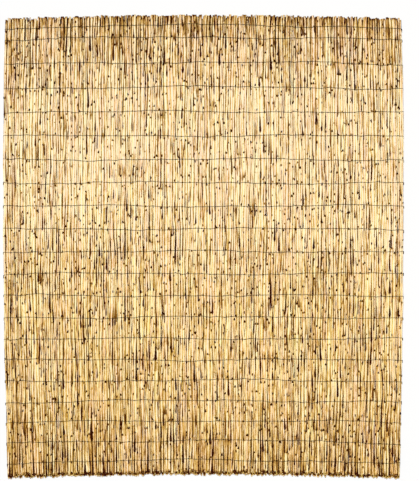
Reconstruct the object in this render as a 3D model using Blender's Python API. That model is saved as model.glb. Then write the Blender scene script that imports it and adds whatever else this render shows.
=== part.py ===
"""Cane screening mat, unrolled and laid flat on its back.

X runs along the binding wires, Y along the canes (+Y is the screen's upper
edge) and Z up through the mat. The origin is under the middle of the mat, on
the surface that its back wires rest on. Everything is in metres.

The canes lie side by side in a front and a back layer. Each layer is one
solid: a ridge for every cane, a groove on both faces between neighbours, and
a wider, flat-bottomed slot between bundles. Every wire row is one closed
loop that runs across the front of the mat, round the outermost cane, and back
across the rear.
"""

import math
import random

import bmesh
import bpy

# The mat
MAT_WIDTH = 1.742
CANE_LENGTH = 2.000
# Cut ends stand this far higher in the middle of the mat than at its sides
END_LIFT = 0.016
# A bundle's cut end falls up to this far short of its neighbours'
RAGGED_CUT = 0.009

# The canes
CANE_PITCH = 0.0097
CANE_DIAMETER = 0.0070
CANES_PER_BUNDLE = 3
# Slot between bundles, and what the grooves leave of a layer's thickness
BUNDLE_SLOT = 0.0014
GROOVE_FLOOR = 0.0014
# Flat on a cane's crest, as a share of the cane's own width
CREST_SHARE = 0.44
# How far single canes depart from the mean width, and below the full height
WIDTH_SPREAD = 0.20
HEIGHT_SPREAD = 0.12

# The binding wires
WIRE_DIAMETER = 0.0012
WIRE_ROWS = 21
# Distances along a cane: the upper edge to the first row, the first row to
# the second, and the last row to the lower edge
TOP_MARGIN = 0.046
SELVEDGE_SPACING = 0.052
BOTTOM_MARGIN = 0.062
# The spacing closes up down the mat: the last one is this share of the third
SPACING_TAPER = 0.80
# Sideways wander of a wire along its row, and the points that draw one run
WIRE_WANDER = 0.0030
WIRE_POINTS = 8

# Running clearance between pieces that rest on each other
SEAT_GAP = 0.0003

# Heights through the mat, built up from the floor
BACK_WIRE_Z = WIRE_DIAMETER / 2
BACK_LAYER_Z = WIRE_DIAMETER + SEAT_GAP + CANE_DIAMETER / 2
FRONT_LAYER_Z = BACK_LAYER_Z + CANE_DIAMETER + SEAT_GAP
FRONT_WIRE_Z = FRONT_LAYER_Z + CANE_DIAMETER / 2 + SEAT_GAP + WIRE_DIAMETER / 2

# A cutter reaches this far past whatever it trims
CUT_MARGIN = 0.02

STRAW = (0.72, 0.52, 0.27, 1.0)
STRAW_SHADED = (0.60, 0.42, 0.21, 1.0)
ZINC = (0.30, 0.28, 0.22, 1.0)


def clear_scene():
    for obj in list(bpy.data.objects):
        bpy.data.objects.remove(obj, do_unlink=True)


def new_collection(name):
    collection = bpy.data.collections.new(name)
    bpy.context.scene.collection.children.link(collection)
    return collection


def material(name, colour, roughness, metallic):
    made = bpy.data.materials.new(name)
    made.use_nodes = True
    shader = made.node_tree.nodes["Principled BSDF"]
    shader.inputs["Base Color"].default_value = colour
    shader.inputs["Roughness"].default_value = roughness
    shader.inputs["Metallic"].default_value = metallic
    return made


def lift(x):
    """Rise of the mat's cut ends at this place across it: half the lift in the middle, minus half at the sides."""
    across = 2 * x / MAT_WIDTH
    return END_LIFT * (0.5 - across * across)


def lay_out_bundles(seed):
    """A layer's bundles, left to right: each is a list of canes, as (left, right, height)."""
    draw = random.Random(seed)
    count = max(1, round(MAT_WIDTH / (CANE_PITCH * CANES_PER_BUNDLE)))
    places = range(count * CANES_PER_BUNDLE)
    shares = [1 + WIDTH_SPREAD * draw.uniform(-1, 1) for _ in places]
    heights = [1 - HEIGHT_SPREAD * draw.random() for _ in places]
    # The widths fill the mat, and the tallest cane fills the layer
    widths = [share * MAT_WIDTH / sum(shares) for share in shares]
    tallest = max(heights)
    heights = [height * CANE_DIAMETER / tallest for height in heights]
    edges = [-MAT_WIDTH / 2]
    for width in widths:
        edges.append(edges[-1] + width)
    canes = list(zip(edges[:-1], edges[1:], heights))
    return [canes[first : first + CANES_PER_BUNDLE] for first in places[::CANES_PER_BUNDLE]]


def ridge_line(bundles, side):
    """One face of a layer as a line across the mat: a crest on each cane, a groove between two."""
    groove = side * GROOVE_FLOOR / 2
    points = []
    for number, bundle in enumerate(bundles):
        left = bundle[0][0] + (BUNDLE_SLOT / 2 if number else 0)
        right = bundle[-1][1] - (BUNDLE_SLOT / 2 if number < len(bundles) - 1 else 0)
        points.append((left, groove))
        for place, (start, end, height) in enumerate(bundle):
            middle = (start + end) / 2
            half_crest = CREST_SHARE * (end - start) / 2
            crest = side * height / 2
            if place:
                points.append((start, groove))
            points.append((middle - half_crest, crest))
            points.append((middle + half_crest, crest))
        points.append((right, groove))
    return points


def extruded(name, outline, half_depth, collection):
    """A closed outline in the object's own XY plane, given a thickness along its Z, as a mesh object."""
    curve = bpy.data.curves.new(name, "CURVE")
    curve.dimensions = "2D"
    curve.fill_mode = "BOTH"
    curve.extrude = half_depth
    spline = curve.splines.new("POLY")
    spline.points.add(len(outline) - 1)
    for point, (x, y) in zip(spline.points, outline):
        point.co = (x, y, 0, 1)
    spline.use_cyclic_u = True
    drawn = bpy.data.objects.new(name + "_outline", curve)
    collection.objects.link(drawn)
    bpy.context.view_layer.update()
    graph = bpy.context.evaluated_depsgraph_get()
    mesh = bpy.data.meshes.new_from_object(drawn.evaluated_get(graph))
    bpy.data.objects.remove(drawn, do_unlink=True)
    bpy.data.curves.remove(curve)
    mesh.name = name
    shape = bmesh.new()
    shape.from_mesh(mesh)
    bmesh.ops.remove_doubles(shape, verts=shape.verts, dist=1e-6)
    bmesh.ops.recalc_face_normals(shape, faces=shape.faces)
    shape.to_mesh(mesh)
    shape.free()
    made = bpy.data.objects.new(name, mesh)
    collection.objects.link(made)
    return made


def ragged_cutter(name, bundles, edge, seed, cutters):
    """What the saw leaves outside the mat at one edge: +1 is the upper edge, -1 the lower."""
    draw = random.Random(seed)
    middles = [(bundle[0][0] + bundle[-1][1]) / 2 for bundle in bundles]
    reaches = [edge * lift(x) - RAGGED_CUT * draw.random() for x in middles]
    # The bundle that reaches farthest sets the mat's own length
    farthest = CANE_LENGTH / 2 + END_LIFT / 2
    ends = [edge * (farthest + reach - max(reaches)) for reach in reaches]
    steps = []
    for bundle, end in zip(bundles, ends):
        steps += [(bundle[0][0], end), (bundle[-1][1], end)]
    steps[0] = (-MAT_WIDTH / 2 - CUT_MARGIN, steps[0][1])
    steps[-1] = (MAT_WIDTH / 2 + CUT_MARGIN, steps[-1][1])
    outer = edge * (farthest + 2 * CUT_MARGIN)
    outline = [(steps[0][0], outer), *steps, (steps[-1][0], outer)]
    cutter = extruded(name, outline, FRONT_WIRE_Z + CUT_MARGIN, cutters)
    cutter.hide_render = True
    cutter.display_type = "WIRE"
    return cutter


def cane_layer(name, height, seed, finish, parts, cutters):
    """One layer of canes: the ridged section carried along the canes, its ends cut bundle by bundle."""
    bundles = lay_out_bundles(seed)
    outline = ridge_line(bundles, 1) + ridge_line(bundles, -1)[::-1]
    blank_half = (CANE_LENGTH + END_LIFT) / 2 + CUT_MARGIN
    layer = extruded(name, outline, blank_half, parts)
    layer.rotation_euler = (math.pi / 2, 0, 0)
    layer.location = (0, 0, height)
    layer.data.materials.append(finish)
    for edge, side in ((1, "upper"), (-1, "lower")):
        cutter = ragged_cutter(f"{name}_{side}_cut", bundles, edge, seed + edge, cutters)
        trim = layer.modifiers.new(f"{side}_edge", "BOOLEAN")
        trim.operation = "DIFFERENCE"
        trim.solver = "EXACT"
        trim.object = cutter
    return layer


def wire_row_places():
    """Where each wire row crosses the canes, from the upper edge down."""
    first = CANE_LENGTH / 2 - TOP_MARGIN
    second = first - SELVEDGE_SPACING
    last = -CANE_LENGTH / 2 + BOTTOM_MARGIN
    gaps = WIRE_ROWS - 2
    shares = [1 - (1 - SPACING_TAPER) * gap / (gaps - 1) for gap in range(gaps)]
    step = (second - last) / sum(shares)
    places = [first, second]
    for share in shares:
        places.append(places[-1] - share * step)
    return places


def wire_line(x, place, row):
    """Y of a wire row at this place across the mat: near an edge it follows the cut ends, and it wanders a little."""
    along = 2 * place / CANE_LENGTH
    across = 2 * math.pi * x / MAT_WIDTH
    wander = math.sin(1.5 * across + 1.9 * row) + 0.6 * math.sin(3.2 * across + 0.7 * row)
    return place + lift(x) * along * along + WIRE_WANDER * wander / 1.6


def side_turn():
    """Section of a loop round the right-hand cane, from top to bottom, on the wire's own centre line."""
    widest = CANE_PITCH * (1 + WIDTH_SPREAD)
    shoulder = MAT_WIDTH / 2 - widest * (1 - CREST_SHARE) / 4
    flank = MAT_WIDTH / 2 + SEAT_GAP + WIRE_DIAMETER / 2
    return [
        (shoulder, FRONT_WIRE_Z),
        (flank, FRONT_LAYER_Z + GROOVE_FLOOR),
        (flank, BACK_LAYER_Z - GROOVE_FLOOR),
        (shoulder, BACK_WIRE_Z),
    ]


def binding_wire(row, place, finish, parts):
    """One wire row: a closed loop, across the front, round the side, and back across the rear."""
    turn = side_turn()
    shoulder = turn[0][0]
    across = [shoulder * (2 * step / (WIRE_POINTS - 1) - 1) for step in range(WIRE_POINTS)]
    front = [(x, FRONT_WIRE_Z) for x in across]
    right = turn[1:-1]
    rear = [(x, BACK_WIRE_Z) for x in reversed(across)]
    left = [(-x, z) for x, z in reversed(right)]
    route = [(x, wire_line(x, place, row), z) for x, z in front + right + rear + left]
    name = f"binding_wire_{row:02d}"
    curve = bpy.data.curves.new(name, "CURVE")
    curve.dimensions = "3D"
    curve.twist_mode = "Z_UP"
    # Four flats, as far apart as the wire is thick, one of them facing the floor
    curve.bevel_depth = WIRE_DIAMETER / math.sqrt(2)
    curve.bevel_resolution = 0
    curve.use_fill_caps = True
    spline = curve.splines.new("POLY")
    spline.points.add(len(route) - 1)
    for point, place_on_route in zip(spline.points, route):
        point.co = (*place_on_route, 1)
        point.tilt = math.pi / 4
    spline.use_cyclic_u = True
    wire = bpy.data.objects.new(name, curve)
    wire.data.materials.append(finish)
    parts.objects.link(wire)
    return wire


def main():
    clear_scene()
    parts = new_collection("cane_screening_mat")
    cutters = new_collection("cutters")
    front_straw = material("straw_front", STRAW, 0.55, 0.0)
    back_straw = material("straw_back", STRAW_SHADED, 0.60, 0.0)
    zinc = material("zinc_wire", ZINC, 0.45, 0.9)
    cane_layer("canes_front", FRONT_LAYER_Z, 11, front_straw, parts, cutters)
    cane_layer("canes_back", BACK_LAYER_Z, 23, back_straw, parts, cutters)
    for row, place in enumerate(wire_row_places(), start=1):
        binding_wire(row, place, zinc, parts)


main()
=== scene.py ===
"""Looks of a cane screening mat that lies unrolled on a pale floor, seen from straight above.

Dry canes lie in a front and a back layer and are bound by rows of two twisted
wires. X runs along the wires, Y along the canes and Z up through the mat, in
metres, in the same frame as the solid model.
"""

import math

import bpy
import numpy as np
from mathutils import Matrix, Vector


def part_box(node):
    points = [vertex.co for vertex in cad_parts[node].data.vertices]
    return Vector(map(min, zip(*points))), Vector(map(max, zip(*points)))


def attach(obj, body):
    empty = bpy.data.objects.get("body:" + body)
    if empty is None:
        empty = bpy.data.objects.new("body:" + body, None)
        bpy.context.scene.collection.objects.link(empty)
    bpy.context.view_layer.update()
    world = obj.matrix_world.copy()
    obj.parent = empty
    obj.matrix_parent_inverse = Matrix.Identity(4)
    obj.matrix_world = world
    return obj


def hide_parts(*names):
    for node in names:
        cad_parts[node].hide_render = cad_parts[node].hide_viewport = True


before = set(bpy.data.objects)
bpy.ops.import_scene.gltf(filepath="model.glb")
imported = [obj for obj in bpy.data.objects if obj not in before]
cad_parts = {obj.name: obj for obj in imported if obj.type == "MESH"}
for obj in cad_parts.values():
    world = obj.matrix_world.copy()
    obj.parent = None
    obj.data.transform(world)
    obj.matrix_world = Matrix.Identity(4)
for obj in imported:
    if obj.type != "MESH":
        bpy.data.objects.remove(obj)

bl_info = {
    "name": "Cane screening mat",
    "version": (1, 0, 0),
    "blender": (4, 5, 0),
    "location": "View3D > Sidebar > Screening",
    "description": "Dry canes in two layers, bound with rows of twisted wire",
    "category": "Object",
}

FRONT_LOW, FRONT_HIGH = (np.array(corner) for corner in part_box("canes_front"))
BACK_LOW, BACK_HIGH = (np.array(corner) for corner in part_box("canes_back"))
HALF_WIDTH = float(FRONT_HIGH[0])
HALF_LENGTH = float(FRONT_HIGH[1])
FRONT_MIDDLE_Z = float(FRONT_LOW[2] + FRONT_HIGH[2]) / 2
BACK_MIDDLE_Z = float(BACK_LOW[2] + BACK_HIGH[2]) / 2
WIRE_NAMES = sorted(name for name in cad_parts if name.startswith("binding_wire_"))

# Places along a cane at which the widths of all the canes are shared out
STATIONS = np.linspace(-HALF_LENGTH - 0.01, HALF_LENGTH + 0.01, 120)
# Rings of a cane: two at its foot, five for each of its joints, and two at its tip
JOINTS = 12
RINGS_PER_JOINT = 5
RINGS = RINGS_PER_JOINT * JOINTS + 4
# Which of all the rings lie below a joint, at it, above it, and lower and upper on the way to the next
BELOW, AT, ABOVE, LOWER, UPPER = (slice(first, -2, RINGS_PER_JOINT) for first in range(2, 7))
FULL_TURN = 2 * math.pi
# Lowest that a bud reaches
CLEAR_OF_FLOOR = 0.0003
# The mat loses this share of its half width towards both ends, and its upper
# end gains the second share, which its lower end loses
SIDE_BOW, SIDE_TILT = 0.0158, 0.0054
# Rings of a joint lie this far below and above it, and both layers of canes
# this far above the middle of their solids
KNEE, LAYER_RISE = 0.0045, 0.0002
# Share of joints that carry a bud
BUD_SHARE = 0.50
# Rows of wire are placed from here, the mean height of the cut ends, and their
# strands twist round each other at this many radii from a line
ROW_REACH = HALF_LENGTH - 0.008
TWIST = 1.1
# Tone of the cane skin, how golden it is, and the share of grooves with a dark
# stroke, each at places up the mat: -1 is the lower edge and 1 the upper
TONE_UP_THE_MAT = (
    (-1.0, 0.74), (-0.95, 0.74), (-0.86, 0.76), (-0.62, 0.85), (-0.30, 0.89), (-0.02, 0.92),
    (0.05, 1.0), (0.45, 1.03), (0.66, 0.99), (0.76, 0.885), (0.88, 0.85), (1.0, 0.72),
)
GOLD_UP_THE_MAT = ((-0.8, 0.65), (-0.3, 0.80), (0.1, 0.35), (0.4, 0.05), (0.9, 0.15), (1.0, 0.1))
WEAR_UP_THE_MAT = (
    (-1.0, 0.60), (-0.85, 0.52), (-0.70, 0.36), (-0.55, 0.36), (-0.45, 0.46),
    (-0.26, 0.43), (-0.15, 0.37), (-0.05, 0.43), (0.03, 0.50), (0.10, 0.42),
    (0.20, 0.31), (0.60, 0.32), (0.70, 0.42), (0.80, 0.54), (0.90, 0.66),
)
# The mat's two sides, and whether each is the front
SIDES = (("front", True), ("back", False))
# Seeds of the random draws, each for the front and for the back
SEEDS = {
    "layout": (17, 29),
    "cut ends": (41, 43),
    "tones": (47, 53),
    "stems": (61, 62),
    "bud places": (71, 72),
    "bud sizes": (73, 74),
    "scraps": (81, 82),
}
# Seeds of the widths that both layers share, and of the wires, to which a row
# adds its number
WIDTHS_SEED, WIRES_SEED = 5, 100
# Share of the floor's look that is its own glow, where the camera sees it
FLOOR_GLOW = 0.85
# The key lamp's apparent size and how it leans, and the camera's film
LAMP_SIZE = math.radians(12)
LAMP_TURN = (math.radians(-12), math.radians(-16), 0)
FILM_WIDTH = 36.0
FLOOR_SIZE = 40.0


def length_setting(name, description, default):
    """A length that a user can change."""
    return bpy.props.FloatProperty(
        name=name, description=description, default=default, unit="LENGTH"
    )


def colour_setting(name, description, default):
    """A colour that a user can change."""
    return bpy.props.FloatVectorProperty(
        name=name, description=description, default=default, subtype="COLOR"
    )


class CaneSizes(bpy.types.PropertyGroup):
    """Sizes and spread of the canes"""

    bundles: bpy.props.IntProperty(
        name="Bundles", description="Bundles of canes across the mat", default=60, min=2
    )
    per_bundle: bpy.props.IntProperty(
        name="Canes in a bundle", description="Front canes in each bundle", default=3, min=1
    )
    sides: bpy.props.IntProperty(
        name="Sides", description="Flats round a cane", default=8, min=5
    )
    width_spread: bpy.props.FloatProperty(
        name="Width spread", description="How far cane widths depart from the mean", default=0.55
    )
    fill: bpy.props.FloatProperty(
        name="Fill", description="Mean share of its room that a cane fills", default=0.95
    )
    lean: length_setting("Lean", "Sideways wander of a bundle between rows", 0.0048)
    full_thickness: length_setting("Thickest cane", "Greatest depth of a cane", 0.0082)
    end_lift: length_setting(
        "End lift", "How far the cut ends stand higher in the middle of the mat than at its sides", 0.016
    )
    ragged: length_setting("Ragged cut", "Spread of the cut ends", 0.010)


class WireSizes(bpy.types.PropertyGroup):
    """Sizes of the binding wires"""

    sides: bpy.props.IntProperty(
        name="Sides", description="Flats round a strand", default=4, min=3
    )
    taper: bpy.props.FloatProperty(
        name="Spacing taper", description="Last spacing as a share of the third", default=0.80
    )
    thickness: length_setting("Thickness", "Diameter of one strand", 0.0022)
    top_margin: length_setting("Top margin", "Upper edge to the first row", 0.046)
    selvedge: length_setting("Selvedge", "First row to the second", 0.052)
    bottom_margin: length_setting("Bottom margin", "Last row to the lower edge", 0.062)
    wander: length_setting("Wander", "Sideways wander of a row", 0.0055)


class MatColours(bpy.types.PropertyGroup):
    """Colours of the canes, the wire and the floor"""

    cream: colour_setting("Cream", "Palest cane skin", (0.95, 0.877, 0.672))
    straw: colour_setting("Straw", "Common cane skin", (0.89, 0.709, 0.482))
    gold: colour_setting("Gold", "Golden cane skin", (0.695, 0.475, 0.182))
    tan: colour_setting("Tan", "Weathered cane skin", (0.45, 0.262, 0.07))
    brown: colour_setting("Brown", "Old sheath", (0.17, 0.062, 0.010))
    wine: colour_setting("Wine", "Darkest stain", (0.045, 0.006, 0.001))
    blush: colour_setting("Blush", "Tint of pinkish skin", (1.0, 0.90, 1.0))
    honey: colour_setting("Honey", "Tint of golden skin", (1.0, 0.91, 0.26))
    bud: colour_setting("Bud", "Dead buds at joints", (0.020, 0.005, 0.001))
    zinc: colour_setting("Zinc", "Weathered zinc on the wire", (0.065, 0.045, 0.017))
    rust: colour_setting("Rust", "Rusted places on the wire", (0.030, 0.014, 0.003))
    floor: colour_setting("Floor", "Pale floor", (0.85, 0.85, 0.85))


class StageSizes(bpy.types.PropertyGroup):
    """Camera and light"""

    lens: bpy.props.FloatProperty(
        name="Lens", description="Focal length", default=100.0, unit="CAMERA"
    )
    sun: bpy.props.FloatProperty(name="Sun", description="Strength of the key lamp", default=2.4)
    sky: bpy.props.FloatProperty(name="Sky", description="Strength of the sky", default=0.46)
    sky_colour: colour_setting("Sky colour", "Colour of the light from all round", (1.0, 0.94, 0.80))
    view_height: length_setting("View height", "Height of the picture at the mat", 2.094)
    aim_x: length_setting("Aim X", "Middle of the picture, across", 0.026)
    aim_y: length_setting("Aim Y", "Middle of the picture, upward", 0.024)


def build_mesh(name, points, faces, material):
    """A mesh object from an array of points and index arrays, one for each number of corners."""
    loops = np.concatenate([block.ravel() for block in faces]).astype(np.int32)
    corners = np.concatenate([np.full(len(block), block.shape[1]) for block in faces])
    starts = (np.cumsum(corners) - corners).astype(np.int32)
    mesh = bpy.data.meshes.new(name)
    mesh.vertices.add(len(points))
    mesh.vertices.foreach_set("co", points.astype(np.float32).ravel())
    mesh.loops.add(len(loops))
    mesh.loops.foreach_set("vertex_index", loops)
    mesh.polygons.add(len(corners))
    mesh.polygons.foreach_set("loop_start", starts)
    mesh.polygons.foreach_set("use_smooth", np.full(len(corners), True))
    mesh.update(calc_edges=True)
    mesh.materials.append(material)
    made = bpy.data.objects.new(name, mesh)
    bpy.context.scene.collection.objects.link(made)
    return made


def point_values(piece, shape, **named):
    """Stores a number for each point of a piece under each name, for its material to read.

    The values are spread to the shape of the points: tubes, rings and sides.
    """
    for name, values in named.items():
        layer = piece.data.attributes.new(name, "FLOAT", "POINT")
        layer.data.foreach_set("value", np.broadcast_to(values, shape).astype(np.float32).ravel())


def tube_faces(tubes, rings, sides):
    """Quads between neighbouring rings of many like tubes, and a flat cap on each end."""
    tube = np.arange(tubes)[:, None, None]
    ring = np.arange(rings - 1)[None, :, None]
    side = np.arange(sides)[None, None, :]
    first = (tube * rings + ring) * sides
    near, far = first + side, first + (side + 1) % sides
    quads = np.stack([near, far, far + sides, near + sides], axis=-1).reshape(-1, 4)
    start = np.arange(tubes)[:, None] * rings * sides
    low = start + np.arange(sides)[::-1]
    high = start + (rings - 1) * sides + np.arange(sides)
    return quads, np.concatenate([low, high])


def make_tubes(name, points, material, clockwise=False):
    """A piece of many like tubes that rides on the mat, from points by tube, ring and side."""
    faces = tube_faces(*points.shape[:3])
    if not clockwise:
        faces = [block[:, ::-1] for block in faces]
    piece = build_mesh(name, points.reshape(-1, 3), faces, material)
    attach(piece, "root")
    return piece


def angles_round(sides):
    """Even angles round a tube, one for each of its sides."""
    return np.arange(sides) * FULL_TURN / sides


def join_xyz(x, y, z):
    """Points from their three coordinates, each spread to the shape that all of them fill."""
    return np.stack(np.broadcast_arrays(x, y, z), axis=-1)


def read_rows(at, places, rows):
    """Rows of values read along straight lines. Each is given at its own places, or all at the same."""
    if np.ndim(places) == 1:
        places = [places] * len(rows)
    return np.stack([np.interp(here, known, row) for here, known, row in zip(at, places, rows)])


def up_the_mat(y, points):
    """A value that runs straight between points, each a place up the mat and the value there."""
    places, values = np.array(points).T
    return np.interp(y, places * HALF_LENGTH, values)


def half_width_at(y):
    """Half the mat's width at a height up it, by a square law."""
    along = y / HALF_LENGTH
    return HALF_WIDTH * (1 - SIDE_BOW * along**2 + SIDE_TILT * along)


def lift_at(x, end_lift):
    """Rise of the cut ends by a parabola: half the lift in the middle, minus half at the sides."""
    return end_lift * (0.5 - (x / HALF_WIDTH) ** 2)


def random_draws(kind, front):
    """The source of the random numbers of one kind, for one side of the mat."""
    return np.random.default_rng(SEEDS[kind][0 if front else 1])


def share_out(sizes):
    """Left edge of every front cane's room at each station, and that of the mat's right side.

    A cane's share of the width is its own random share, times one plus a
    taper along it and a slow sine. The shares of a bundle are then scaled
    together, so that the bundle keeps its own share at every height, and all
    are summed and scaled to fill the mat there. Last, the line between two
    bundles moves sideways by a random amount at each row of wire.
    """
    draw = np.random.default_rng(WIDTHS_SEED)
    count = sizes.bundles * sizes.per_bundle
    spread = sizes.width_spread
    share = 1 + spread * (draw.random((count, 1)) + draw.random((count, 1)) - 1)
    taper = draw.uniform(-0.35, 0.35, (count, 1))
    turns = draw.uniform(0.8, 2.6, (count, 1))
    phase = draw.random((count, 1))
    wave = 0.10 * np.sin(FULL_TURN * (turns * STATIONS + phase))
    share = share * (1 + taper * STATIONS + wave)
    bundle = share.reshape(sizes.bundles, sizes.per_bundle, -1)
    together = bundle.sum(axis=1, keepdims=True)
    share = (bundle * together.mean(axis=2, keepdims=True) / together).reshape(count, -1)
    edges = np.concatenate([np.zeros((1, len(STATIONS))), np.cumsum(share, axis=0)])
    edges = (2 * edges / edges[-1] - 1) * half_width_at(STATIONS)
    rows = np.linspace(STATIONS[0], STATIONS[-1], len(WIRE_NAMES) + 1)
    moves = sizes.lean * draw.uniform(-1, 1, (sizes.bundles + 1, len(rows)))
    moves[0], moves[-1] = 0.4 * np.abs(moves[0]), -0.4 * np.abs(moves[-1])
    moves = read_rows([STATIONS] * len(moves), rows, moves)
    between = np.arange(count + 1) / sizes.per_bundle
    lines = np.arange(sizes.bundles + 1)
    return edges + read_rows([between] * len(STATIONS), lines, moves.T).T


def read_canes(layout, canes, y):
    """Centre, half width and half depth of the chosen canes, each read at its own row of heights."""
    found = {"y": y}
    for key in ("x", "z", "half_wide", "half_deep"):
        found[key] = read_rows(y, layout["y"][canes], layout[key][canes])
    return found


def round_canes(at, angle, off=0):
    """Points at angles round the ellipses of canes, and a distance off their skin."""
    wide = at["half_wide"][..., None] + off
    deep = at["half_deep"][..., None] + off
    return join_xyz(
        at["x"][..., None] + wide * np.cos(angle),
        at["y"][..., None],
        at["z"][..., None] + deep * np.sin(angle),
    )


def ring_heights(low, high, draw):
    """Heights of a cane's rings: its two ends, one a little way in from each, and five for each joint.

    The joints divide the length into random shares. A joint has rings at it,
    just below and just above, and two more on the way to the next.
    """
    shares = np.cumsum(draw.uniform(0.4, 1.6, (len(low), JOINTS + 1)), axis=1)
    places = shares[:, :-1] / shares[:, -1:]
    joints = low[:, None] + (high - low)[:, None] * places
    above = np.concatenate([joints[:, 1:], high[:, None]], axis=1)
    butt, tip, lower, upper = 0.016, 0.012, 0.26, 0.60
    heights = np.empty((len(low), RINGS))
    heights[:, 0] = low
    heights[:, 1] = low + butt
    heights[:, BELOW] = joints - KNEE
    heights[:, AT] = joints
    heights[:, ABOVE] = joints + KNEE
    heights[:, LOWER] = joints + lower * (above - joints)
    heights[:, UPPER] = joints + upper * (above - joints)
    heights[:, -2] = high - tip
    heights[:, -1] = high
    return heights


def lay_out_layer(sizes, front):
    """Every ring of every cane in a layer: its height up the mat, centre, half width and half depth.

    Front canes lie in the middle of their rooms. Back canes nest under the
    grooves between two front ones, so that layer has one cane fewer. A cane
    fills a share of its room that differs from cane to cane and along each.
    In places it is wider still, and lies over the sides of its neighbours: by
    how much is random at even steps up the mat, and straight between them.
    """
    edges = share_out(sizes)
    draw = random_draws("layout", front)
    if front:
        middle, room = (edges[1:] + edges[:-1]) / 2, edges[1:] - edges[:-1]
    else:
        middle, room = edges[1:-1], (edges[2:] - edges[:-2]) / 2
    count = len(middle)
    lift = lift_at(middle[:, len(STATIONS) // 2], sizes.end_lift)
    reach = HALF_LENGTH - sizes.end_lift / 2
    high = reach + lift - sizes.ragged * draw.random(count) ** 1.5
    low = -reach + lift + sizes.ragged * draw.random(count) ** 1.5
    # The back canes' tips stay a little lower, their bends are smaller, and none rises
    bend, rise = 0.0020, 0.0015
    if not front:
        high -= 0.010 * draw.random(count)
        bend, rise = 0.0009, 0
    heights = ring_heights(low, high, draw)
    along = heights / HALF_LENGTH
    by_cane, by_ring, by_end, by_overlap = 0.05, 0.06, 0.06, 0.42
    fill = sizes.fill + by_cane * draw.uniform(-1, 1, (count, 1))
    fill = fill + by_ring * draw.uniform(-1, 1, heights.shape)
    fill += by_end * draw.uniform(-1, 1, (count, 1)) * along
    steps = np.linspace(-HALF_LENGTH, HALF_LENGTH, 9)
    over = read_rows(heights, steps, draw.random((count, len(steps))) ** 1.2)
    fill += by_overlap * over
    # The tips are thinner, and the joints swell
    thinning, tip_from, tip_length = 0.26, 0.94, 0.06
    fill -= thinning * np.clip((along - tip_from) / tip_length, 0, 1)
    swell = np.full(RINGS, 0.98)
    swell[AT] = 1.07
    half_wide = read_rows(heights, STATIONS, room) / 2 * fill * swell
    deepest = sizes.full_thickness / 2
    half_deep = np.clip(half_wide, 0.6 * deepest, deepest) * (0.98 + 0.02 * swell)
    # A cane bends a little at each joint and is straight between them
    bow = read_rows(heights, heights[:, AT], draw.uniform(-bend, bend, (count, JOINTS)))
    # The crests of the thinner canes still come near the layer's face
    outward = 0.7 * (deepest - half_deep)
    if front:
        z = FRONT_MIDDLE_Z + LAYER_RISE + outward + rise * over
    else:
        z = BACK_MIDDLE_Z + LAYER_RISE - outward
    return {
        "y": heights,
        "x": read_rows(heights, STATIONS, middle) + bow,
        "z": z,
        "half_wide": half_wide,
        "half_deep": half_deep,
    }


def along_cane(lengths):
    """A value for each length between joints, given to its rings; a joint's ring has the mean of two."""
    values = np.empty((len(lengths), RINGS))
    values[:, :2] = lengths[:, :1]
    values[:, BELOW] = lengths[:, :-1]
    values[:, AT] = (lengths[:, :-1] + lengths[:, 1:]) / 2
    for ring in (ABOVE, LOWER, UPPER):
        values[:, ring] = lengths[:, 1:]
    values[:, -2:] = lengths[:, -1:]
    return values


def patches(y, draw):
    """Slow change of tone over the mat: random values on a coarse grid, with straight lines between."""
    columns, rows, strength = 30, 12, 0.018
    grid = strength * draw.normal(size=(columns, rows))
    across = np.linspace(0, columns - 1, len(y))
    by_cane = read_rows([across] * rows, np.arange(columns), grid.T).T
    return read_rows(y, np.linspace(-HALF_LENGTH, HALF_LENGTH, rows), by_cane)


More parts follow.
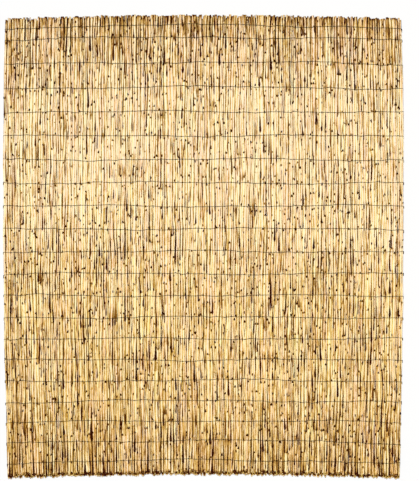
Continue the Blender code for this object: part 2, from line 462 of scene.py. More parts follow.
def cane_tones(layout, sides, front):
    """Tone of the skin at every point, from 0, wine-dark, to 1, pale cream, and its blush and gold.

    Each length between two joints has a tone of its own, which wanders along
    it, more so near the mat's two edges. Every joint is a darker ring. Painted
    shade darkens the sides of a cane, towards the grooves, by the square of the
    cosine of the angle round it, and a painted highlight lightens its crest.
    The back layer is painted darker, as shade behind the front. Some lengths
    carry a stain, which is darkest just above the joint and fades on the way up.
    """
    draw = random_draws("tones", front)
    side = 1 if front else -1
    y = layout["y"]
    count = len(y)
    # 0 over most of the mat, rising to 1 over the fifth next to each edge
    near_edge = np.clip(np.abs(y) / HALF_LENGTH / 0.2 - 4, 0, 1)
    by_cane, by_length, by_ring, by_edge = 0.03, 0.06, 0.055, 0.6
    tone = by_cane * draw.normal(size=(count, 1))
    tone = tone + along_cane(by_length * draw.normal(size=(count, JOINTS + 1)))
    tone += by_ring * draw.normal(size=y.shape)
    tone = tone * (1 + by_edge * near_edge) + up_the_mat(y, TONE_UP_THE_MAT) + patches(y, draw)
    # Painted shade: the back layer is darker, most of all near its edges, as the front layer shades it
    if not front:
        tone -= 0.08 + 0.25 * near_edge
    tone[:, AT] -= 0.12
    # Dark butts and dark tips on rather more than half the canes
    dark_share = 0.55
    tone[:, 0] -= 0.9 * draw.random(count) * (draw.random(count) < dark_share)
    tip = 0.95 * draw.random(count) * (draw.random(count) < dark_share)
    tone[:, -1] -= tip
    tone[:, -2] -= 0.4 * tip * draw.random(count)
    turn = angles_round(sides)
    around = np.repeat(tone[..., None], sides, axis=2)
    # Painted highlight: a narrow pale line along the crest
    around += 0.08 * np.clip(side * np.sin(turn), 0, 1) ** 8
    # Painted shade in the groove on the right of a cane and in that on its left, which darkens its sides
    mean_groove_shade, groove_shade_spread, most_groove_shade = 0.42, 0.34, 0.9
    groove_shade = mean_groove_shade + groove_shade_spread * draw.normal(size=(2, *y.shape, 1))
    right, left = np.clip(groove_shade, 0, most_groove_shade)
    around -= np.where(np.cos(turn) > 0, right, left) * np.cos(turn) ** 2
    # Stains: how strong, and on which side, for each length between joints
    busy = 0.20 + 0.26 * near_edge[:, ABOVE]
    strength = draw.uniform(0.4, 1.0, (count, JOINTS)) * (draw.random((count, JOINTS)) < busy)
    where = side * math.pi * draw.choice([0.25, 0.75], size=(count, JOINTS))
    lobe = np.clip(np.cos(turn - where[..., None]), 0, 1) ** 6 * strength[..., None]
    around[:, ABOVE] -= lobe
    around[:, LOWER] -= lobe * draw.uniform(0.2, 1.0, (count, JOINTS, 1))
    around[:, UPPER] -= lobe * draw.uniform(0.0, 0.2, (count, JOINTS, 1))
    # The skin is golden brown round a bud
    keep, angle = bud_places(layout, front)
    halo = np.clip(np.cos(turn - angle[..., None]), 0, 1) ** 3
    around[:, AT] -= 0.55 * keep[..., None] * halo
    blush = along_cane(draw.random((count, JOINTS + 1)) ** 1.5)
    blush = np.repeat(blush[..., None], sides, axis=2)
    # Gold: the skin's own golden tone, which changes up the mat and along a cane, plus painted warm
    # shade that tints the sides towards the grooves by the square of the cosine
    gold = up_the_mat(y, GOLD_UP_THE_MAT) + along_cane(0.15 * draw.normal(size=(count, JOINTS + 1)))
    gold = 0.28 * np.clip(gold[..., None], 0, 1.2) + 1.2 * np.cos(turn) ** 2 - 0.1
    return around, blush, np.clip(gold, 0, 1)


def bud_places(layout, front):
    """Which joints of a layer carry a bud, and at what angle round the cane."""
    draw = random_draws("bud places", front)
    shape = layout["y"][:, AT].shape
    angle = (1 if front else -1) * (math.pi / 2 + draw.uniform(-0.8, 0.8, shape))
    return draw.random(shape) < BUD_SHARE, angle


def with_ends(values):
    """The values at a cane's rings, with the first and the last given twice more for its hollow ends."""
    return np.concatenate([values[:, :1]] * 2 + [values] + [values[:, -1:]] * 2, axis=1)


def cane_points(layout, sides, draw):
    """Points of all the canes of a layer, with hollow cut ends.

    A ring is an ellipse about the cane's centre. At each end the skin turns
    in over the wall's cut face and runs a short way back down the bore,
    which a flat closes. The cut slopes by a random amount, most at the foot.
    """
    rings = {key: with_ends(values) for key, values in layout.items()}
    bore, bore_depth = 0.70, 0.004
    for key in ("half_wide", "half_deep"):
        rings[key][:, :2] *= bore
        rings[key][:, -2:] *= bore
    rings["y"][:, 0] += bore_depth
    rings["y"][:, -1] -= bore_depth
    points = round_canes(rings, angles_round(sides))
    rise = points[..., 2] - rings["z"][..., None]
    low_slope = draw.uniform(1.0, 3.4, (len(points), 1, 1))
    high_slope = draw.uniform(-0.5, 0.7, (len(points), 1, 1))
    points[:, :3, :, 1] += low_slope * rise[:, :3]
    points[:, -3:, :, 1] -= high_slope * rise[:, -3:]
    return points


def make_canes(name, node, sizes, material, front):
    """One layer of canes as a single piece.

    Its points carry, for the material: the tone, blush and gold of the skin,
    the count of grooves across the mat, and the share of worn grooves there.
    """
    layout = lay_out_layer(sizes, front)
    draw = random_draws("cut ends", front)
    points = cane_points(layout, sizes.sides, draw)
    tone, blush, gold = cane_tones(layout, sizes.sides, front)
    # The cut face of the wall is pale, and the bore is painted dark as the shade inside the hollow
    bore, wall = np.full_like(tone[:, :1], 0.05), np.full_like(tone[:, :1], 1.0)
    canes = np.arange(len(points))[:, None, None] + 0.5
    wear = up_the_mat(points[..., 1], WEAR_UP_THE_MAT)
    piece = make_tubes(name, points, material)
    point_values(
        piece,
        points.shape[:3],
        tone=np.concatenate([bore, wall, tone, wall, bore], axis=1),
        blush=with_ends(blush),
        gold=with_ends(gold),
        across=canes + 0.5 * np.cos(angles_round(sizes.sides)),
        wear=wear + 1.5 * patches(points[:, :, 0, 1], draw)[..., None],
    )
    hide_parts(node)


def set_inputs(tree, node, inputs):
    """Sets a node's inputs to values, or links them from sockets."""
    for name, value in inputs.items():
        if isinstance(value, bpy.types.NodeSocket):
            tree.links.new(value, node.inputs[name])
        else:
            node.inputs[name].default_value = value
    return node


def place_node(tree, kind, inputs, **settings):
    """A new node with its settings made and its inputs set."""
    node = tree.nodes.new(kind)
    for name, value in settings.items():
        setattr(node, name, value)
    return set_inputs(tree, node, inputs)


def arithmetic(tree, operation, *values):
    """What a Math node gives for its inputs, each of them a number or a socket to link."""
    inputs = dict(enumerate(values))
    return place_node(tree, "ShaderNodeMath", inputs, operation=operation).outputs[0]


def product(tree, first, *others):
    """The product of numbers and sockets."""
    for other in others:
        first = arithmetic(tree, "MULTIPLY", first, other)
    return first


def ramped(tree, value, low, high, first=0.0, last=1.0):
    """A value that runs from the first at a low input to the last at a high one, and stays between."""
    ends = {"From Min": low, "From Max": high, "To Min": first, "To Max": last}
    return place_node(tree, "ShaderNodeMapRange", {"Value": value, **ends}).outputs["Result"]


def stretched(tree, vector, scale):
    """A place with each of its axes scaled."""
    return place_node(tree, "ShaderNodeMapping", {"Vector": vector, "Scale": scale}).outputs["Vector"]


def noise_at(tree, vector, scale=1.0, detail=2.0, roughness=0.5):
    """What a noise texture gives at a place."""
    inputs = {"Vector": vector, "Scale": scale, "Detail": detail, "Roughness": roughness}
    return place_node(tree, "ShaderNodeTexNoise", inputs).outputs


def colour_parts(tree, colour):
    """The red, green and blue of a colour."""
    return place_node(tree, "ShaderNodeSeparateColor", {"Color": colour}).outputs


def stored(tree, name):
    """The number that a piece's points carry under a name."""
    return place_node(tree, "ShaderNodeAttribute", {}, attribute_name=name).outputs["Fac"]


def colour_from(tree, value, stops):
    """A colour that a value picks from a ramp, whose stops are places and colours in rising order."""
    ramp = place_node(tree, "ShaderNodeValToRGB", {"Fac": value})
    band = ramp.color_ramp
    for at, _ in stops[1:-1]:
        band.elements.new(at)
    for element, (at, shade) in zip(band.elements, stops):
        element.position = at
        element.color = (*shade, 1.0)
    return ramp.outputs["Color"]


def bumped(tree, height, strength, distance):
    """A normal that follows a height."""
    inputs = {"Height": height, "Strength": strength, "Distance": distance}
    return place_node(tree, "ShaderNodeBump", inputs).outputs["Normal"]


def new_group(name, amounts, results):
    """A shader group that takes a place and some numbers, and the sockets inside it."""
    group = bpy.data.node_groups.new(name, "ShaderNodeTree")
    group.interface.new_socket("Vector", in_out="INPUT", socket_type="NodeSocketVector")
    for amount in amounts:
        group.interface.new_socket(amount, in_out="INPUT", socket_type="NodeSocketFloat")
    for result in results:
        group.interface.new_socket(result, in_out="OUTPUT", socket_type="NodeSocketFloat")
    entry = group.nodes.new("NodeGroupInput")
    leave = group.nodes.new("NodeGroupOutput")
    return group, entry.outputs, leave


def new_material(name):
    """A new material, its node tree and its shader."""
    made = bpy.data.materials.new(name)
    made.use_nodes = True
    return made, made.node_tree, made.node_tree.nodes["Principled BSDF"]


def strokes_group():
    """Shader group: dark strokes in the grooves between canes, as a tone below zero.

    Across counts the grooves: it is whole in one and a half over the crest of
    a cane. Strokes follow one another up a groove at an even spacing from a
    random start. A stroke has a rounded foot and narrows evenly to its tip.
    Its width, its length and whether it is there at all are random, a wider
    one is darker, and a noise stretched along the canes frays its edges.
    """
    amounts = ("Across", "Wear", "Amount", "Width", "Spacing", "Seed")
    group, entry, leave = new_group("Groove strokes", amounts, ("Tone",))
    # In spacings, but for the narrowest, which is in canes
    random_start, shortest, foot_length, narrowest = 50.0, 0.3, 0.10, 0.20
    fraying, edge_from, edge_to, faintest = 0.5, 0.10, 0.30, 0.45
    groove = arithmetic(group, "ROUND", entry["Across"])
    away = arithmetic(group, "ABSOLUTE", arithmetic(group, "SUBTRACT", entry["Across"], groove))
    seed = arithmetic(group, "ADD", groove, entry["Seed"])
    begin = place_node(group, "ShaderNodeTexWhiteNoise", {"W": seed}, noise_dimensions="1D")
    start = product(group, begin.outputs["Value"], random_start)
    where = place_node(group, "ShaderNodeSeparateXYZ", {"Vector": entry["Vector"]})
    place = arithmetic(group, "MULTIPLY_ADD", where.outputs["Y"], entry["Spacing"], start)
    along = arithmetic(group, "FRACT", place)
    stroke = {"X": groove, "Y": arithmetic(group, "FLOOR", place), "Z": entry["Seed"]}
    each = place_node(group, "ShaderNodeCombineXYZ", stroke)
    chance = place_node(group, "ShaderNodeTexWhiteNoise", {"Vector": each.outputs["Vector"]})
    parts = colour_parts(group, chance.outputs["Color"])
    reach = arithmetic(group, "MULTIPLY_ADD", parts["Blue"], 1 - shortest, shortest)
    rest = arithmetic(group, "SUBTRACT", 1.0, arithmetic(group, "DIVIDE", along, reach))
    foot = arithmetic(group, "SQRT", ramped(group, along, 0.0, foot_length))
    random_width = arithmetic(group, "POWER", parts["Green"], 2.0)
    widest = arithmetic(group, "MULTIPLY_ADD", random_width, entry["Width"], narrowest)
    half = product(group, widest, foot, rest)
    fray = noise_at(group, stretched(group, entry["Vector"], (900, 60, 900)))["Fac"]
    gap = arithmetic(group, "SUBTRACT", half, away)
    frayed = arithmetic(group, "MULTIPLY_ADD", fray, fraying, gap)
    inside = arithmetic(group, "POWER", ramped(group, frayed, edge_from, edge_to), 1.3)
    worn = arithmetic(group, "SUBTRACT", entry["Wear"], parts["Red"])
    there = ramped(group, worn, 0.0, 0.4)
    weight = arithmetic(group, "MULTIPLY_ADD", random_width, 0.7, faintest)
    depth = product(group, weight, entry["Amount"])
    set_inputs(group, leave, {"Tone": product(group, inside, there, depth, -1.0)})
    return group


def streaks_group():
    """Shader group: fibre streaks along the canes, as a tone about zero and a height for a bump.

    Two noises stretched along Y are mixed, one with streaks half a cane wide
    and a few centimetres long, and one that mottles them finely. Pale streaks
    are fainter than dark ones.
    """
    group, entry, leave = new_group("Cane fibre streaks", ("Strength",), ("Tone", "Height"))
    broad, fine = (
        noise_at(group, stretched(group, entry["Vector"], scale), roughness=0.6)["Fac"]
        for scale in ((180, 22, 180), (700, 160, 700))
    )
    fine_share, palest = 0.38, 0.06
    blend = place_node(group, "ShaderNodeMix", {"Factor": fine_share, "A": broad, "B": fine})
    height = blend.outputs["Result"]
    capped = arithmetic(group, "MINIMUM", arithmetic(group, "SUBTRACT", height, 0.5), palest)
    tone = product(group, capped, entry["Strength"])
    set_inputs(group, leave, {"Tone": tone, "Height": height})
    return group


def stains_group():
    """Shader group: narrow dark streaks and oval specks on the skin, as a tone below zero.

    A noise stretched along the canes is cut off high up, which leaves
    separate streaks. A speck is drawn round the middle of each cell of a
    Voronoi pattern that is longer along the canes, with a radius that differs
    from cell to cell and an edge that a noise makes uneven.
    """
    group, entry, leave = new_group("Cane stains", ("Streaks", "Specks"), ("Tone",))
    streak_from, streak_to, speck_edge = 0.645, 0.69, 0.07
    # A radius is a random share of the spread less the loss, so some cells have no speck
    radius_spread, radius_loss = 0.30, 0.10
    fibre = noise_at(group, stretched(group, entry["Vector"], (220, 11, 40)), detail=1.0)["Fac"]
    streak = ramped(group, fibre, streak_from, streak_to)
    spread = stretched(group, entry["Vector"], (56, 27, 1))
    uneven = {0: noise_at(group, spread, 12.0)["Color"], 1: (0.10, 0.10, 0.0), 2: spread}
    shifted = place_node(group, "ShaderNodeVectorMath", uneven, operation="MULTIPLY_ADD")
    pattern = {"Vector": shifted.outputs["Vector"], "Scale": 1.0}
    cells = place_node(group, "ShaderNodeTexVoronoi", pattern, voronoi_dimensions="2D").outputs
    chance = colour_parts(group, cells["Color"])["Red"]
    radius = arithmetic(group, "MULTIPLY_ADD", chance, radius_spread, -radius_loss)
    within = arithmetic(group, "SUBTRACT", radius, cells["Distance"])
    speck = ramped(group, within, 0.0, speck_edge)
    streaks = product(group, streak, entry["Streaks"])
    specks = product(group, speck, entry["Specks"])
    darker = arithmetic(group, "MAXIMUM", streaks, specks)
    set_inputs(group, leave, {"Tone": product(group, darker, -1.0)})
    return group


def cane_material(name, colours, layers, roughness, gloss):
    """Dry cane skin: a ramp of colours read by the tone at each point, to which layers add theirs.

    A layer is a shader group and the values of its inputs. What is dark is
    also dull.
    """
    made, tree, shader = new_material(name)
    place = place_node(tree, "ShaderNodeTexCoord", {}).outputs["Object"]
    tone = stored(tree, "tone")
    heights = []
    bump_strength, bump_distance, dark_roughness = 0.25, 0.0004, 0.95
    for group, values in layers:
        layer = place_node(tree, "ShaderNodeGroup", {}, node_tree=group)
        set_inputs(tree, layer, {"Vector": place, **values})
        for socket in ("Across", "Wear"):
            if socket in layer.inputs:
                set_inputs(tree, layer, {socket: stored(tree, socket.lower())})
        tone = arithmetic(tree, "ADD", tone, layer.outputs["Tone"])
        if "Height" in layer.outputs:
            heights.append(layer.outputs["Height"])
    stops = (
        (0.0, colours.wine),
        (0.20, colours.brown),
        (0.42, colours.tan),
        (0.62, colours.gold),
        (0.80, colours.straw),
        (1.0, colours.cream),
    )
    colour = colour_from(tree, tone, stops)
    for name, tint in (("blush", colours.blush), ("gold", colours.honey)):
        inputs = {"Factor": stored(tree, name), "A": colour, "B": (*tint, 1.0)}
        tinted = place_node(tree, "ShaderNodeMix", {}, data_type="RGBA", blend_type="MULTIPLY")
        colour = set_inputs(tree, tinted, inputs).outputs["Result"]
    skin = {
        "Base Color": colour,
        "Roughness": ramped(tree, tone, 0.3, 0.9, dark_roughness, roughness),
        "Specular IOR Level": gloss,
        "Normal": bumped(tree, heights[0], bump_strength, bump_distance),
    }
    set_inputs(tree, shader, skin)
    return made


def mottled_material(name, first, second, scale, roughness, metallic):
    """Two colours that a fine noise mixes, with a slight bump of the same noise."""
    made, tree, shader = new_material(name)
    place = place_node(tree, "ShaderNodeTexCoord", {}).outputs["Object"]
    mottle = noise_at(tree, place, scale, 3.0)["Fac"]
    spread, gloss, bump_strength, bump_distance = 0.12, 0.02, 0.3, 0.0002
    finish = {
        "Base Color": colour_from(tree, mottle, ((0.42, first), (0.60, second))),
        "Metallic": metallic,
        "Roughness": ramped(tree, mottle, 0.0, 1.0, roughness - spread, roughness + spread),
        "Specular IOR Level": gloss,
        "Normal": bumped(tree, mottle, bump_strength, bump_distance),
    }
    set_inputs(tree, shader, finish)
    return made


def cane_skin(colours):
    """The cane skin's material, made once. It has short dark strokes and long faint ones."""
    name = "dry cane skin"
    if name in bpy.data.materials:
        return bpy.data.materials[name]
    strokes = strokes_group()
    layers = (
        (streaks_group(), {"Strength": 2.3}),
        (stains_group(), {"Streaks": 0.7, "Specks": 1.0}),
        (strokes, {"Amount": 2.2, "Width": 0.28, "Spacing": 10.0, "Seed": 53.0}),
        (strokes, {"Amount": 0.60, "Width": 0.40, "Spacing": 5.0, "Seed": 400.0}),
    )
    return cane_material(name, colours, layers, roughness=0.5, gloss=0.05)


def old_sheath(colours):
    """The material of the dead sheath and stems, which is duller than the skin; made once."""
    name = "old dry sheath"
    if name in bpy.data.materials:
        return bpy.data.materials[name]
    fibre = bpy.data.node_groups["Cane fibre streaks"]
    layers = ((fibre, {"Strength": 1.2}),)
    return cane_material(name, colours, layers, roughness=0.85, gloss=0.02)


def make_stems(name, sizes, material, front):
    """Thin stray stems that lie in the grooves between the canes of a layer.

    A stem follows its groove between two heights, with both ends drawn in.
    """
    draw = random_draws("stems", front)
    layout = lay_out_layer(sizes, front)
    count, sides = 520, 5
    profile = np.array([0.45, 0.8, 1.0, 1.0, 0.95, 0.75, 0.4])
    rings = len(profile)
    cane = draw.integers(0, len(layout["y"]) - 1, count)
    length = draw.uniform(0.04, 0.20, count)
    # More stems lie near the two edges than at mid height
    middle = draw.uniform(-1, 1, count)
    middle = np.sign(middle) * np.abs(middle) ** 0.8 * (HALF_LENGTH - 0.12)
    y = middle[:, None] + length[:, None] * np.linspace(-0.5, 0.5, rings)
    centre = read_canes(layout, cane, y)
    after = read_canes(layout, cane + 1, y)
    x = (centre["x"] + centre["half_wide"] + after["x"] - after["half_wide"]) / 2
    x = x + draw.normal(0, 0.0004, (count, 1))
    radius = draw.uniform(0.0009, 0.0017, (count, 1)) * profile
    out = draw.uniform(0.0006, 0.0022, (count, 1))
    z = (centre["z"] + after["z"]) / 2 + (out if front else -out)
    stem = {"x": x, "y": y, "z": z, "half_wide": radius, "half_deep": radius}
    points = round_canes(stem, angles_round(sides))
    piece = make_tubes(name, points, material)
    tone = draw.uniform(0.05, 0.9, (count, 1, 1)) + 0.15 * np.linspace(-1, 1, rings)[:, None]
    point_values(piece, points.shape[:3], tone=tone, blush=draw.random((count, 1, 1)))


def make_scraps(name, sizes, material, front):
    """Scraps of old sheath, which start just above a joint and lie against the cane.

    Every ring of a scrap is a flat band that follows the cane's own ellipse,
    from 0.1 mm to 0.6 mm off the skin. Its half angle grows evenly over the
    foot, and falls towards the tip as the square root of what is left of the
    length. A scrap is paler towards its tip and along its two edges.
    """
    draw = random_draws("scraps", front)
    layout = lay_out_layer(sizes, front)
    joints = layout["y"][:, AT]
    # There are more scraps next to the mat's two edges, and fewer at the back
    edge, busy, calm = 0.78 * HALF_LENGTH, 0.34, 0.13
    chance = np.where(np.abs(joints) > edge, busy, calm) * (1.0 if front else 0.8)
    cane, joint = np.nonzero(draw.random(joints.shape) < chance)
    count, rings, across = len(cane), 8, 4
    share = np.linspace(0, 1, rings)
    joint_y = joints[cane, joint][:, None]
    length = 0.03 + 0.12 * draw.random((count, 1)) ** 1.4
    length = np.minimum(length, HALF_LENGTH - 0.03 - joint_y)
    y = joint_y + 0.003 + length * share
    middle = np.radians(draw.uniform(32, 72, (count, 1)))
    middle = np.where(draw.random((count, 1)) < 0.5, middle, math.pi - middle)
    foot = np.clip(0.35 + 5 * share, 0, 1)
    half = np.radians(draw.uniform(22, 50, (count, 1))) * np.sqrt(1.02 - share) * foot
    spread = middle[..., None] + half[..., None] * np.linspace(-1, 1, across)
    angle = np.concatenate([spread, spread[..., ::-1]], axis=-1)
    off = np.repeat([0.0006, 0.0001], across)
    side = 1 if front else -1
    points = round_canes(read_canes(layout, cane, y), side * angle, off)
    piece = make_tubes(name, points, material, clockwise=not front)
    # Rather more than half are dark with age, and the rest are paler
    aged = draw.random(count) < 0.55
    tone = np.where(aged, draw.uniform(-0.10, 0.12, count), draw.uniform(0.15, 0.9, count))
    rim = np.linspace(-1, 1, across) ** 2
    rim = 0.40 * np.concatenate([rim, rim[::-1]])
    tone = tone[:, None, None] + 0.50 * share[:, None] ** 2 + rim
    point_values(
        piece,
        angle.shape,
        tone=tone,
        blush=draw.random((count, 1, 1)),
        gold=up_the_mat(y, GOLD_UP_THE_MAT)[..., None],
    )


def make_buds(name, sizes, material, front):
    """Dead buds and stubs of side shoots at some joints: a blunt cone that leans up the cane."""
    draw = random_draws("bud sizes", front)
    layout = lay_out_layer(sizes, front)
    keep, angle = bud_places(layout, front)
    angle = angle[keep]
    cane = {key: value[:, AT][keep] for key, value in layout.items()}
    size = draw.uniform(0.0026, 0.0041, len(angle))[:, None]
    outward = join_xyz(np.cos(angle), 0, np.sin(angle))
    sideways = join_xyz(-np.sin(angle), 0, np.cos(angle))
    up = np.array([0.0, 1.0, 0.0])
    # A bud is sunk a little into the skin, and starts just above the joint
    sunk, above = 0.93, 0.002
    foot = join_xyz(
        cane["x"] + cane["half_wide"] * np.cos(angle) * sunk,
        cane["y"] + above,
        cane["z"] + cane["half_deep"] * np.sin(angle) * sunk,
    )
    turn = angles_round(6)[:, None]
    loop = np.cos(turn) * sideways[:, None] + 1.3 * np.sin(turn) * up
    # Width, distance out and distance up of each ring, in sizes of the bud
    rings = ((0.9, 0.0, -0.2), (1.0, 0.4, 0.0), (0.75, 0.8, 0.6), (0.25, 0.9, 1.5))
    stack = []
    for wide, out, along in rings:
        centre = foot + size * (out * 0.8 * outward + along * up)
        stack.append(centre[:, None] + size[:, None] * wide * loop)
    points = np.stack(stack, axis=1)
    points[..., 2] = np.maximum(points[..., 2], CLEAR_OF_FLOOR)
    make_tubes(name, points, material)


def row_places(sizes):
    """Where each row crosses the canes, from the top. The spacing falls evenly from the third row."""
    first = ROW_REACH - sizes.top_margin
    second = first - sizes.selvedge
    last = -ROW_REACH + sizes.bottom_margin
    gaps = len(WIRE_NAMES) - 2
    share = 1 - (1 - sizes.taper) * np.arange(gaps) / (gaps - 1)
    steps = np.cumsum(share) * (second - last) / share.sum()
    return np.concatenate([[first, second], second - steps])


def row_line(x, place, row, end_lift, wander):
    """Height of a row across the mat.

    It is the row's place, plus the rise of the cut ends by the square of the
    place, plus two sines that differ from row to row.
    """
    along = place / ROW_REACH
    across = math.pi * x / HALF_WIDTH
    wave = np.sin(1.5 * across + 1.9 * row) + 0.6 * np.sin(3.2 * across + 0.7 * row)
    return place + lift_at(x, end_lift) * along * along + wander * wave / 1.6


def swept_tube(path, radius, sides):
    """Points of a round wire carried along a path.

    A ring stands square to the path, in the two directions that a fixed
    slanting direction gives with the path's own.
    """
    ahead = np.gradient(path, axis=0)
    ahead /= np.linalg.norm(ahead, axis=1, keepdims=True)
    slant = np.full(3, 1 / math.sqrt(3))
    out = slant - (ahead @ slant)[:, None] * ahead
    out /= np.linalg.norm(out, axis=1, keepdims=True)
    other = np.cross(ahead, out)
    turn = angles_round(sides)[:, None]
    path, out, other = path[:, None], out[:, None], other[:, None]
    return path + radius * np.cos(turn) * out + radius * np.sin(turn) * other


def cane_section(layout, place):
    """Centre, half width and half depth of every cane where a row crosses it."""
    canes = np.arange(len(layout["y"]))
    found = read_canes(layout, canes, np.full((len(canes), 1), place))
    return {key: value[:, 0] for key, value in found.items()}


def bundle_run(section, first, last, side, radius):
    """Points of a strand round one bundle: up its first cane, over every crest, down its last.

    A point lies a wire's radius off an ellipse, at a given angle round it.
    """
    # How far up the side of its outer canes a run starts and ends
    start = 0.75
    canes = np.concatenate([[first], np.arange(first, last), [last - 1]])
    angles = np.full(len(canes), math.pi / 2)
    angles[0], angles[-1] = math.pi - start, start
    x = section["x"][canes] + (section["half_wide"][canes] + radius) * np.cos(angles)
    z = section["z"][canes] + side * (section["half_deep"][canes] + radius) * np.sin(angles)
    return np.stack([x, z], axis=-1)


def make_wire(row, name, place, front, back, cane_sizes, sizes, material):
    """One row: two strands that change sides between bundles, with a short tail at each side.

    Between two bundles both strands come up into the front groove and make
    one full turn round each other there, about a line along the row. Each of
    these knots is a random way up or down the mat, and the strands sway
    evenly from one to the next.
    """
    radius = sizes.thickness / 2
    draw = np.random.default_rng(WIRES_SEED + row)
    per = cane_sizes.per_bundle
    bundles = cane_sizes.bundles
    front_at, back_at = cane_section(front, place), cane_section(back, place)
    runs = {1: [], -1: []}
    for bundle in range(bundles):
        first, last = bundle * per, (bundle + 1) * per
        runs[1].append(bundle_run(front_at, first, last, 1, radius))
        last = min(last, len(back_at["x"]))
        runs[-1].append(bundle_run(back_at, first, last, -1, radius))
    knot_spread, knot_half, knot_rise = 0.0016, 0.0024, 0.0006
    jitter = draw.normal(0, knot_spread, bundles + 1)
    knot_along = np.linspace(-1, 1, 4)
    knot_turn = math.pi * (knot_along + 1)
    strands = []
    for strand in (1, -1):
        twist = TWIST * radius * np.stack([np.cos(knot_turn), np.sin(knot_turn)]) * strand
        xz = []
        sway = []
        for bundle in range(bundles):
            side = strand if bundle % 2 == 0 else -strand
            run = runs[side][bundle]
            xz.append(run)
            sway.append(np.linspace(jitter[bundle], jitter[bundle + 1], len(run)))
            if bundle < bundles - 1:
                before, after = runs[1][bundle][-1], runs[1][bundle + 1][0]
                knot_x = (before[0] + after[0]) / 2 + knot_half * knot_along
                knot_z = (before[1] + after[1]) / 2 + knot_rise + twist[1]
                xz.append(np.stack([knot_x, knot_z], axis=-1))
                sway.append(jitter[bundle + 1] + twist[0])
        x, z = np.concatenate(xz).T
        y = row_line(x, place, row, cane_sizes.end_lift, sizes.wander) + np.concatenate(sway)
        path = with_tails(join_xyz(x, y, np.maximum(z, radius)), strand, radius, draw)
        strands.append(swept_tube(path, radius, sizes.sides))
    quads, caps = [], []
    start = 0
    for points in strands:
        strand_quads, strand_caps = tube_faces(1, len(points), sizes.sides)
        quads.append(strand_quads + start)
        caps.append(strand_caps + start)
        start += len(points) * sizes.sides
    points = np.concatenate([points.reshape(-1, 3) for points in strands])
    faces = [np.concatenate(quads), np.concatenate(caps)]
    piece = build_mesh(name + "_twist", points, faces, material)
    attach(piece, "root")
    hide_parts(name)


def with_tails(path, strand, radius, draw):
    """The path with a tail at each side, where both strands run down the outermost cane as a twist."""
    middle_z = (FRONT_MIDDLE_Z + BACK_MIDDLE_Z) / 2
    points, turns, begin = 9, 1.6, 0.001
    phase = FULL_TURN * np.linspace(0, turns, points) + (0 if strand > 0 else math.pi)
    tails = []
    for end, outward in ((path[0], -1), (path[-1], 1)):
        drop = np.linspace(begin, begin + draw.uniform(0.008, 0.014), points)
        side_x = outward * (half_width_at(end[1]) + 0.3 * radius)
        tail = join_xyz(
            side_x + outward * TWIST * radius * np.cos(phase),
            end[1] - drop,
            middle_z + TWIST * radius * np.sin(phase),
        )
        tails.append(tail)
    return np.concatenate([tails[0][::-1], path, tails[1]])


def floor_material(colour):
    """Pale floor that the camera sees as nearly white, with the mat's shadow still on it."""
    made = bpy.data.materials.new("pale floor")
    made.use_nodes = True
    tree = made.node_tree
    tree.nodes.clear()
    matt = place_node(tree, "ShaderNodeBsdfDiffuse", {"Color": (*colour, 1.0)})
    glow = place_node(tree, "ShaderNodeEmission", {"Strength": 1.0})
    rays = tree.nodes.new("ShaderNodeLightPath").outputs
    seen = arithmetic(tree, "MAXIMUM", rays["Is Camera Ray"], rays["Is Glossy Ray"])
    seen = arithmetic(tree, "MAXIMUM", seen, rays["Is Transmission Ray"])
    share = product(tree, seen, FLOOR_GLOW)
    both = {"Fac": share, 1: matt.outputs["BSDF"], 2: glow.outputs["Emission"]}
    mixed = place_node(tree, "ShaderNodeMixShader", both)
    place_node(tree, "ShaderNodeOutputMaterial", {"Surface": mixed.outputs["Shader"]})
    return made


def sky_world(colour, strength):
    """Even, slightly warm light from all round, which the camera sees as a white backdrop."""
    world = bpy.data.worlds.new("studio sky")
    world.use_nodes = True
    tree = world.node_tree
    rays = tree.nodes.new("ShaderNodeLightPath").outputs
    light = (*(strength * part for part in colour), 1.0)
    shades = {"Factor": rays["Is Camera Ray"], "A": light, "B": (1.0, 1.0, 1.0, 1.0)}
    seen = set_inputs(tree, place_node(tree, "ShaderNodeMix", {}, data_type="RGBA"), shades)
    set_inputs(tree, tree.nodes["Background"], {"Color": seen.outputs["Result"]})
    bpy.context.scene.world = world


class SCREENING_OT_front_canes(bpy.types.Operator):
    """Make the front layer of canes"""

    bl_idname = "screening.front_canes"
    bl_label = "Front canes"

    def execute(self, context):
        scene = context.scene
        skin = cane_skin(scene.mat_colours)
        make_canes("front_canes", "canes_front", scene.cane_sizes, skin, True)
        return {"FINISHED"}


class SCREENING_OT_back_canes(bpy.types.Operator):
    """Make the back layer of canes"""

    bl_idname = "screening.back_canes"
    bl_label = "Back canes"

    def execute(self, context):
        scene = context.scene
        skin = cane_skin(scene.mat_colours)
        make_canes("back_canes", "canes_back", scene.cane_sizes, skin, False)
        return {"FINISHED"}


class SCREENING_OT_stray_stems(bpy.types.Operator):
    """Make the thin stems that lie between the canes"""

    bl_idname = "screening.stray_stems"
    bl_label = "Stray stems"

    def execute(self, context):
        scene = context.scene
        skin = old_sheath(scene.mat_colours)
        for side, front in SIDES:
            make_stems("stray_stems_" + side, scene.cane_sizes, skin, front)
        return {"FINISHED"}


class SCREENING_OT_sheath_scraps(bpy.types.Operator):
    """Make the scraps of old sheath on the canes"""

    bl_idname = "screening.sheath_scraps"
    bl_label = "Sheath scraps"

    def execute(self, context):
        scene = context.scene
        skin = old_sheath(scene.mat_colours)
        for side, front in SIDES:
            make_scraps("sheath_scraps_" + side, scene.cane_sizes, skin, front)
        return {"FINISHED"}


class SCREENING_OT_buds(bpy.types.Operator):
    """Make the dead buds at the joints"""

    bl_idname = "screening.buds"
    bl_label = "Buds"

    def execute(self, context):
        scene = context.scene
        colours = scene.mat_colours
        dead = mottled_material(
            "dead bud", colours.bud, colours.wine, scale=600.0, roughness=0.85, metallic=0.0
        )
        for side, front in SIDES:
            make_buds("cane_buds_" + side, scene.cane_sizes, dead, front)
        return {"FINISHED"}


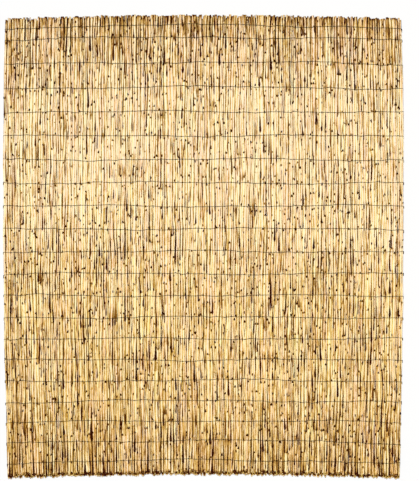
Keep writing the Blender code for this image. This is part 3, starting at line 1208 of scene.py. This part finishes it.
class SCREENING_OT_binding_wires(bpy.types.Operator):
    """Make the rows of twisted wire"""

    bl_idname = "screening.binding_wires"
    bl_label = "Binding wires"

    def execute(self, context):
        scene = context.scene
        colours = scene.mat_colours
        zinc = mottled_material(
            "weathered zinc wire", colours.zinc, colours.rust, scale=260.0, roughness=0.6, metallic=0.3
        )
        front = lay_out_layer(scene.cane_sizes, True)
        back = lay_out_layer(scene.cane_sizes, False)
        places = row_places(scene.wire_sizes)
        for row, (name, place) in enumerate(zip(WIRE_NAMES, places), start=1):
            make_wire(row, name, place, front, back, scene.cane_sizes, scene.wire_sizes, zinc)
        return {"FINISHED"}


class SCREENING_OT_stage(bpy.types.Operator):
    """Set the floor, the light and the camera"""

    bl_idname = "screening.stage"
    bl_label = "Stage"

    def execute(self, context):
        scene = context.scene
        stage = scene.stage_sizes
        bpy.ops.mesh.primitive_plane_add(size=FLOOR_SIZE, location=(0, 0, 0))
        floor = context.object
        floor.name = "floor"
        floor.data.materials.append(floor_material(scene.mat_colours.floor))
        sky_world(stage.sky_colour, stage.sky)
        lamp = bpy.data.lights.new("key lamp", "SUN")
        lamp.energy = stage.sun
        lamp.angle = LAMP_SIZE
        key = bpy.data.objects.new("key lamp", lamp)
        key.rotation_euler = LAMP_TURN
        scene.collection.objects.link(key)
        lens = bpy.data.cameras.new("overhead camera")
        lens.lens = stage.lens
        lens.sensor_width = FILM_WIDTH
        camera = bpy.data.objects.new("overhead camera", lens)
        distance = stage.lens / lens.sensor_width * stage.view_height
        camera.location = (stage.aim_x, stage.aim_y, distance + FRONT_MIDDLE_Z)
        scene.collection.objects.link(camera)
        scene.camera = camera
        scene.view_settings.view_transform = "Standard"
        return {"FINISHED"}


class SCREENING_PT_panel(bpy.types.Panel):
    """Lists the mat's pieces"""

    bl_label = "Cane screening mat"
    bl_idname = "SCREENING_PT_panel"
    bl_space_type = "VIEW_3D"
    bl_region_type = "UI"
    bl_category = "Screening"

    def draw(self, context):
        for settings in SETTINGS:
            group = getattr(context.scene, settings)
            box = self.layout.box()
            for name in group.bl_rna.properties.keys():
                if name not in ("rna_type", "name"):
                    box.prop(group, name)
        for operator in OPERATORS:
            self.layout.operator(operator.bl_idname)


SETTINGS = {
    "cane_sizes": CaneSizes,
    "wire_sizes": WireSizes,
    "mat_colours": MatColours,
    "stage_sizes": StageSizes,
}
OPERATORS = (
    SCREENING_OT_back_canes,
    SCREENING_OT_front_canes,
    SCREENING_OT_stray_stems,
    SCREENING_OT_sheath_scraps,
    SCREENING_OT_buds,
    SCREENING_OT_binding_wires,
    SCREENING_OT_stage,
)


def register():
    """Registers the settings, the operators and the panel."""
    for name, group in SETTINGS.items():
        bpy.utils.register_class(group)
        setattr(bpy.types.Scene, name, bpy.props.PointerProperty(type=group))
    for operator in OPERATORS:
        bpy.utils.register_class(operator)
    bpy.utils.register_class(SCREENING_PT_panel)


def unregister():
    """Takes away what register added, the other way round."""
    bpy.utils.unregister_class(SCREENING_PT_panel)
    for operator in reversed(OPERATORS):
        bpy.utils.unregister_class(operator)
    for name, group in SETTINGS.items():
        delattr(bpy.types.Scene, name)
        bpy.utils.unregister_class(group)


def main():
    """Makes every piece and the stage."""
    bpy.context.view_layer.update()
    register()
    bpy.ops.screening.back_canes()
    bpy.ops.screening.front_canes()
    bpy.ops.screening.stray_stems()
    bpy.ops.screening.sheath_scraps()
    bpy.ops.screening.buds()
    bpy.ops.screening.binding_wires()
    bpy.ops.screening.stage()


if __name__ == "__main__":
    main()
